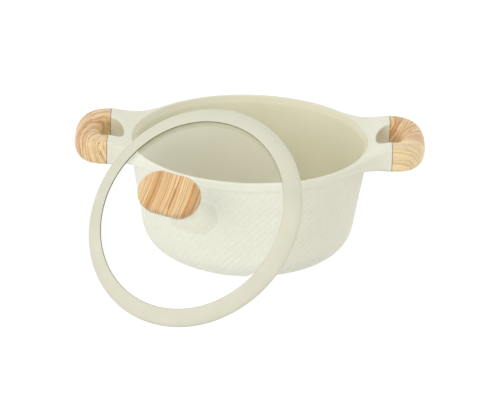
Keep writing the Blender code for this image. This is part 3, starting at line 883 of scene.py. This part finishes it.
def wrapped_grain(points):
    """Streaks leave the back arm outward and bend round to run down across the front.

    The front and the wall of the finger hole are a little paler.
    """
    z = points[:, 2] - ARM_MID
    x = (points[:, 0] - WRAP_X - 0.2 * z) / WRAP_ACROSS
    y = (points[:, 1] - WRAP_Y) / WRAP_ALONG
    hole = np.hypot((points[:, 0] - SEAM_X) / 9.5, points[:, 1] / 26.0)
    pale = np.clip((points[:, 1] - 22.0) / 25.0, 0.0, 0.35) + np.clip(1.3 - hole, 0.0, 0.45)
    across = 46.0 * np.hypot(x, y) + 200.0
    return np.stack([across, np.arctan2(x, -y) * 55.0, points[:, 2]], axis=-1), pale


def knob_grain(points):
    """Nearly straight streaks across the knob, slightly slanted."""
    slant = math.radians(KNOB_SLANT)
    x = points[:, 0]
    y = points[:, 1]
    down = KNOB_TOP - points[:, 2]
    across = x * math.cos(slant) - y * math.sin(slant) + 0.003 * y * y + 0.5 * down
    along = 0.22 * (x * math.sin(slant) + y * math.cos(slant))
    return np.stack([across * 1.3 + 20.0, along, 0.2 * points[:, 2]], axis=-1), np.zeros(len(points))


def gasket_cuts():
    """Sections through a gasket: distance from the arm's face, and how much smaller each one is."""
    return ((0.02, 0.1), (0.15, 0.0), (GASKET_THICK - 0.15, 0.0), (GASKET_THICK - 0.02, 0.1))


def build_grips(wood, dark, screw_metal):
    half_turn = Matrix.Rotation(math.pi, 4, "Z")
    for label, turn, rule in (("right", None, fanned_grain), ("left", half_turn, wrapped_grain)):
        bm = bmesh.new()
        skin(bm, grip_loops())
        name = "grip_" + label
        piece = finish_mesh(name + "_wood", bm, [wood], "pot", [name], turn, sharp=50.0)
        store_grain(piece, rule)

    width = (ARM_OUTER - ARM_INNER) / 2 - GASKET_INSET
    height = ARM_HALF - GASKET_INSET
    for label, side in (("left", -1), ("right", 1)):
        for end_label, end in (("front", -1), ("back", 1)):
            y = end * (ARM_INNER + ARM_OUTER) / 2
            loops = []
            for x, inset in gasket_cuts():
                centre = Vector((side * (SEAM_X + x), y, ARM_MID))
                loops.append(section(centre, Vector((0, 1, 0)), width - inset, height - inset, END_POWER))
            bm = bmesh.new()
            skin(bm, loops)
            node = "grip_gasket_" + label + "_" + end_label
            finish_mesh(node + "_seal", bm, [dark], "pot", [node])
            build_grip_screw("grip_screw_" + label + "_" + end_label, screw_metal)


def build_grip_screw(node, metal):
    """Pan head screw seen from below, placed where the CAD has it."""
    low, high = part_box(node)
    middle = (low + high) / 2 / MM
    radius = (high.x - low.x) / 2 / MM
    recess = [(0.0, 0.9), (0.5, 0.9), (0.9, 0.1)]
    head = [(radius - 0.9, 0.0), (radius - 0.2, 0.4), (radius, 1.0), (radius, 1.8)]
    profile = recess + head + [(1.5, 1.9), (1.5, 10.0), (0.0, 11.0)]
    bm = lathe(profile, 40)
    place = Matrix.Translation(Vector((middle.x, middle.y, low.z / MM)) * MM)
    finish_mesh(node + "_pan", bm, [metal], "pot", [node], place)


# Lid ----------

def lid_matrix():
    turn = Euler((math.radians(LID_TILT), 0.0, math.radians(-LID_TURN))).to_matrix().to_4x4()
    return Matrix.Translation(Vector(LID_CENTRE) * MM) @ turn


def dome(radius):
    drop = math.sqrt(DOME_RADIUS**2 - DOME_EDGE**2) - math.sqrt(DOME_RADIUS**2 - radius**2)
    return DOME_EDGE_Z - drop


def glass_profile():
    outside = []
    for i in range(21):
        radius = GLASS_HOLE + (DOME_EDGE - 2.5 - GLASS_HOLE) * i / 20
        outside.append((radius, dome(radius)))
    outside += [(DOME_EDGE - 0.8, dome(DOME_EDGE - 0.8)), (DOME_EDGE + 1.5, DOME_EDGE_Z - 0.42)]
    outside += [(GLASS_RADIUS - 1.6, GLASS_BORDER_Z + 0.28), (GLASS_RADIUS - 0.5, GLASS_BORDER_Z - 0.15)]
    outside.append((GLASS_RADIUS, GLASS_BORDER_Z - 0.8))
    inside = [(r, z - GLASS_THICK) for r, z in reversed(outside[:-2])]
    bottom = GLASS_BORDER_Z - GLASS_THICK
    return outside + [(GLASS_RADIUS, bottom + 0.9), (GLASS_RADIUS - 0.6, bottom + 0.25)] + inside


def ring_profile():
    groove_end = GLASS_RADIUS + 0.1
    under = [(LID_RADIUS, 0.7), (LID_RADIUS - 0.7, 0.0), (102.2, 0.0), (101.5, 0.6), (101.5, 1.6)]
    groove = [(groove_end, 1.0), (groove_end, GLASS_BORDER_Z + 0.2), (RING_INNER, 7.25)]
    lip = [(RING_INNER, RING_TOP - 0.5), (RING_INNER + 0.5, RING_TOP), (RING_INNER + 2.0, RING_TOP - 0.2)]
    top = [(105.5, 7.5), (110.5, 5.4), (112.8, 3.8), (113.6, 2.4)]
    return soften(under + groove + lip + top, closed=True, reach=0.7)


def cap_loops():
    """Level outlines of the knob's cap: a stadium with rounded edges and a faintly crowned top."""
    rise = ((0.0, 3.0), (0.15, 1.4), (0.6, 0.6), (1.5, 0.12), (3.0, 0.0))
    levels = [(CAP_BOTTOM + z, inset) for z, inset in rise]
    for i in range(11):
        angle = math.pi / 2 * i / 10
        inset = CAP_EDGE * (1 - math.cos(angle))
        levels.append((KNOB_TOP - 0.9 - CAP_EDGE + CAP_EDGE * math.sin(angle), inset))
    for inset, z in ((7.0, 0.62), (9.5, 0.36), (12.5, 0.14), (15.5, 0.03)):
        levels.append((KNOB_TOP - z, inset))
    straight = (KNOB_LENGTH - KNOB_WIDTH) / 2
    loops = []
    for z, inset in levels:
        radius = KNOB_WIDTH / 2 - inset
        loop = []
        for centre, start in ((straight, -90), (-straight, 90)):
            for i in range(41):
                angle = math.radians(start + 180 * i / 40)
                loop.append((centre + radius * math.cos(angle), radius * math.sin(angle), z))
        loops.append(loop)
    return loops


def add_lid_piece(name, bm, surface, node, sharp=38.0):
    return finish_mesh(name, bm, [surface], "lid", [node], lid_matrix(), sharp)


def post_profile(low, high):
    """The knob's post: a foot with a rounded edge, a waist and a wider head under the cap."""
    foot = [(BOLT_HOLE, low), (BASE_FOOT - 0.7, low), (BASE_FOOT, low + 0.8), (BASE_FOOT - 0.3, low + 2.2)]
    waist = [(BASE_WAIST + 1.2, low + 4.0), (BASE_WAIST + 0.2, low + 6.5), (BASE_WAIST, low + 9.0)]
    waist += [(BASE_WAIST + 0.2, high - 6.5), (BASE_WAIST + 1.0, high - 3.0)]
    head = [(BASE_HEAD - 0.1, high - 1.0), (BASE_HEAD, high - 0.4), (BASE_HEAD - 0.4, high)]
    return soften(foot + waist + head + [(BOLT_HOLE, high)], True, 2, 0.8)


def bored_disc(radius, hole_z, rim_z, end_z, rounds=2, steps=72):
    """A disc with the bolt's hole: one face goes from hole_z to rim_z, the other is level at end_z."""
    profile = [(BOLT_HOLE, hole_z), (radius, rim_z), (radius, end_z), (BOLT_HOLE, end_z)]
    return lathe(soften(profile, True, rounds, SOFT_EDGE), steps, True)


def build_knob(wood, clear):
    """What stands on the glass: a seal, the post and the wood-effect cap."""
    low = dome(0.0) + AIR
    top = low + SEAL_THICK
    seal = bored_disc(SEAL_RADIUS, low, dome(SEAL_RADIUS) + AIR, top)
    add_lid_piece("knob_seal_upper", seal, clear, "knob_gasket_upper")

    post = lathe(post_profile(top + THIN_AIR, CAP_BOTTOM - THIN_AIR), 96, True)
    post = add_lid_piece("knob_post", post, moulded_cream(), "knob_base")
    bm = bmesh.new()
    skin(bm, cap_loops())
    cap = add_lid_piece("knob_cap_wood", bm, wood, "knob_cap", 50.0)
    store_grain(cap, knob_grain)
    for piece in (post, cap):
        piece.visible_glossy = False
        piece.visible_diffuse = False
        piece.visible_shadow = False


def build_clamp(metal, clear):
    """What clamps the knob from under the glass: a seal, a washer, a screw and the cap's insert."""
    drop = dome(0.0) - dome(SEAL_RADIUS)
    ceiling = dome(0.0) - GLASS_THICK - AIR
    under = ceiling - drop - SEAL_THICK
    seal = bored_disc(SEAL_RADIUS, ceiling, ceiling - drop, under)
    add_lid_piece("knob_seal_lower", seal, clear, "knob_gasket_lower")

    top = under - THIN_AIR
    washer = bored_disc(WASHER_RADIUS, top, top, top - WASHER_THICK)
    add_lid_piece("knob_washer_steel", washer, metal, "knob_washer")

    seat = under - SCREW_SEAT
    screw = [(0.0, seat - 1.6), (0.6, seat - 1.6), (1.2, seat - 3.0), (3.4, seat - 3.0), (4.9, seat - 2.2)]
    screw += [(SCREW_HEAD, seat - 0.8), (SCREW_HEAD, seat), (SCREW_SHANK, seat)]
    screw += [(SCREW_SHANK, SCREW_TOP - 1.0), (SCREW_SHANK - 1.0, SCREW_TOP), (0.0, SCREW_TOP)]
    screw = lathe(soften(screw, False, 1, SOFT_EDGE), 56)
    add_lid_piece("knob_screw_pan", screw, metal, "knob_screw")

    low = CAP_BOTTOM + AIR
    insert = bored_disc(INSERT_RADIUS, low, low, low + INSERT_LENGTH, rounds=1, steps=48)
    add_lid_piece("knob_insert_brass", insert, brass(), "knob_insert")


def build_lid(wood, metal):
    add_lid_piece("lid_dome", lathe(glass_profile(), 192, True), glass(), "lid_glass")
    ring = lathe(ring_profile(), 256, True)
    ring = add_lid_piece("lid_silicone_ring", ring, silicone(), "lid_ring", 45.0)
    ring.visible_diffuse = False
    ring.visible_shadow = False
    clear = soft_rubber("clear_silicone", (0.82, 0.82, 0.76), (0.74, 0.74, 0.68), 0.45)
    build_knob(wood, clear)
    build_clamp(metal, clear)


# Stage ----------

def floor_material():
    """White sweep that glows like a light table, so shadows on it stay faint."""
    n = Nodes("paper")
    tone = n.ramp(n.noise(3.0, 3.0), [(0.3, (0.115, 0.115, 0.115)), (0.7, (0.125, 0.125, 0.125))])
    normal = n.bump(n.noise(700.0, 2.0), 0.00004, 0.3)
    white = (1.0, 1.0, 1.0)
    return n.finish(
        Base_Color=tone, Roughness=0.9, Normal=normal, Emission_Color=white, Emission_Strength=FLOOR_GLOW
    )


def build_floor():
    bm = bmesh.new()
    bmesh.ops.create_grid(bm, x_segments=8, y_segments=8, size=FLOOR_HALF)
    mesh = bpy.data.meshes.new("floor")
    bm.to_mesh(mesh)
    bm.free()
    mesh.materials.append(floor_material())
    floor = bpy.data.objects.new("floor", mesh)
    floor.location.z = -FLOOR_DROP
    floor.visible_diffuse = False
    floor.visible_glossy = False
    bpy.context.scene.collection.objects.link(floor)


def build_world():
    """A white tent, open overhead: brightest at the horizon, most of all on the right, and dark below."""
    world = bpy.data.worlds.new("studio")
    bpy.context.scene.world = world
    world.use_nodes = True
    tree = world.node_tree
    add = tree.nodes.new
    link = tree.links.new
    direction = add("ShaderNodeTexCoord").outputs["Generated"]
    parts = add("ShaderNodeSeparateXYZ")
    link(direction, parts.inputs[0])
    ramp = add("ShaderNodeValToRGB")
    height = add("ShaderNodeMapRange")
    height.inputs["From Min"].default_value = -1.0
    link(parts.outputs["Z"], height.inputs["Value"])
    link(height.outputs["Result"], ramp.inputs["Fac"])
    elements = ramp.color_ramp.elements
    elements.new(0.5)
    for element, level in zip(elements, TENT_LEVELS):
        element.color = (level, level, level, 1.0)
    side = add("ShaderNodeMapRange")
    link(parts.outputs["X"], side.inputs["Value"])
    for key, value in zip(("From Min", "From Max", "To Min", "To Max"), (-1.0, 1.0, *TENT_SIDES)):
        side.inputs[key].default_value = value
    background = tree.nodes["Background"]
    link(ramp.outputs["Color"], background.inputs["Color"])
    link(side.outputs["Result"], background.inputs["Strength"])

    white = add("ShaderNodeBackground")
    white.inputs["Color"].default_value = (1.0, 1.0, 1.0, 1.0)
    white.inputs["Strength"].default_value = GLEAM
    path = add("ShaderNodeLightPath")
    mirrored = add("ShaderNodeMath")
    mirrored.operation = "MAXIMUM"
    link(path.outputs["Is Glossy Ray"], mirrored.inputs[0])
    link(path.outputs["Is Transmission Ray"], mirrored.inputs[1])
    choose = add("ShaderNodeMixShader")
    link(mirrored.outputs["Value"], choose.inputs["Fac"])
    link(background.outputs["Background"], choose.inputs[1])
    link(white.outputs["Background"], choose.inputs[2])
    link(choose.outputs["Shader"], tree.nodes["World Output"].inputs["Surface"])


def add_softbox(name, location, power):
    """A square lamp aimed at the pot, seen neither directly, in reflections nor through the glass."""
    light = bpy.data.lights.new(name, "AREA")
    light.shape = "SQUARE"
    light.size = LAMP_SIZE
    light.energy = power
    lamp = bpy.data.objects.new(name, light)
    bpy.context.scene.collection.objects.link(lamp)
    lamp.location = location
    aim = Vector(LAMP_AIM) - Vector(location)
    lamp.rotation_euler = aim.to_track_quat("-Z", "Y").to_euler()
    lamp.visible_camera = False
    lamp.visible_glossy = False
    lamp.visible_transmission = False


def build_lights():
    add_softbox("key", KEY_LAMP, KEY_POWER)
    add_softbox("top", TOP_LAMP, TOP_POWER)


def build_camera():
    """Camera at the photographed angle, rolled slightly, aimed a little below the pot's middle."""
    elevation = math.radians(CAMERA_ELEVATION)
    roll = math.radians(CAMERA_ROLL)
    middle = Vector((0.0, 0.0, POT_HEIGHT / 2))
    back = Vector((0.0, -math.cos(elevation), math.sin(elevation)))
    level = Vector((1.0, 0.0, 0.0))
    upward = Vector((0.0, math.sin(elevation), math.cos(elevation)))
    right = level * math.cos(roll) + upward * math.sin(roll)
    above = upward * math.cos(roll) - level * math.sin(roll)
    place = middle + back * CAMERA_DISTANCE
    aim = middle + right * AIM_RIGHT - above * AIM_DOWN
    look = (place - aim).normalized()
    side = above.cross(look).normalized()
    top = look.cross(side)
    data = bpy.data.cameras.new("camera")
    data.lens = CAMERA_LENS
    data.sensor_width = 36.0
    data.clip_start = 0.1
    data.clip_end = 60.0
    camera = bpy.data.objects.new("camera", data)
    bpy.context.scene.collection.objects.link(camera)
    turn = Matrix((side, top, look)).transposed().to_4x4()
    camera.matrix_world = Matrix.Translation(place * MM) @ turn
    bpy.context.scene.camera = camera


def main():
    bpy.context.scene.view_settings.view_transform = "Standard"
    build_camera()
    build_lights()
    build_floor()
    build_world()
    cream = coating()
    wood = wood_effect()
    disc_metal = steel("disc_steel", 0.9, 0.34)
    screw_metal = steel("screw_steel", 2.5, 0.28)
    dark = soft_rubber("dark_gasket", (0.24, 0.19, 0.12), (0.17, 0.135, 0.085), 0.65)
    casting, inside = pot_mesh()
    pot = finish_mesh("pot_casting", casting, [cream], "pot", ["pot_body"], sharp=50.0)
    # the inside attribute carries the painted shade of the pot's inside and of the finger holes' walls
    write_attribute(pot.data, "inside", inside)
    disc = lathe(disc_profile(), 192)
    finish_mesh("base_disc_turned", disc, [disc_metal], "pot", ["base_disc"])
    build_grips(wood, dark, screw_metal)
    build_lid(wood, screw_metal)


main()
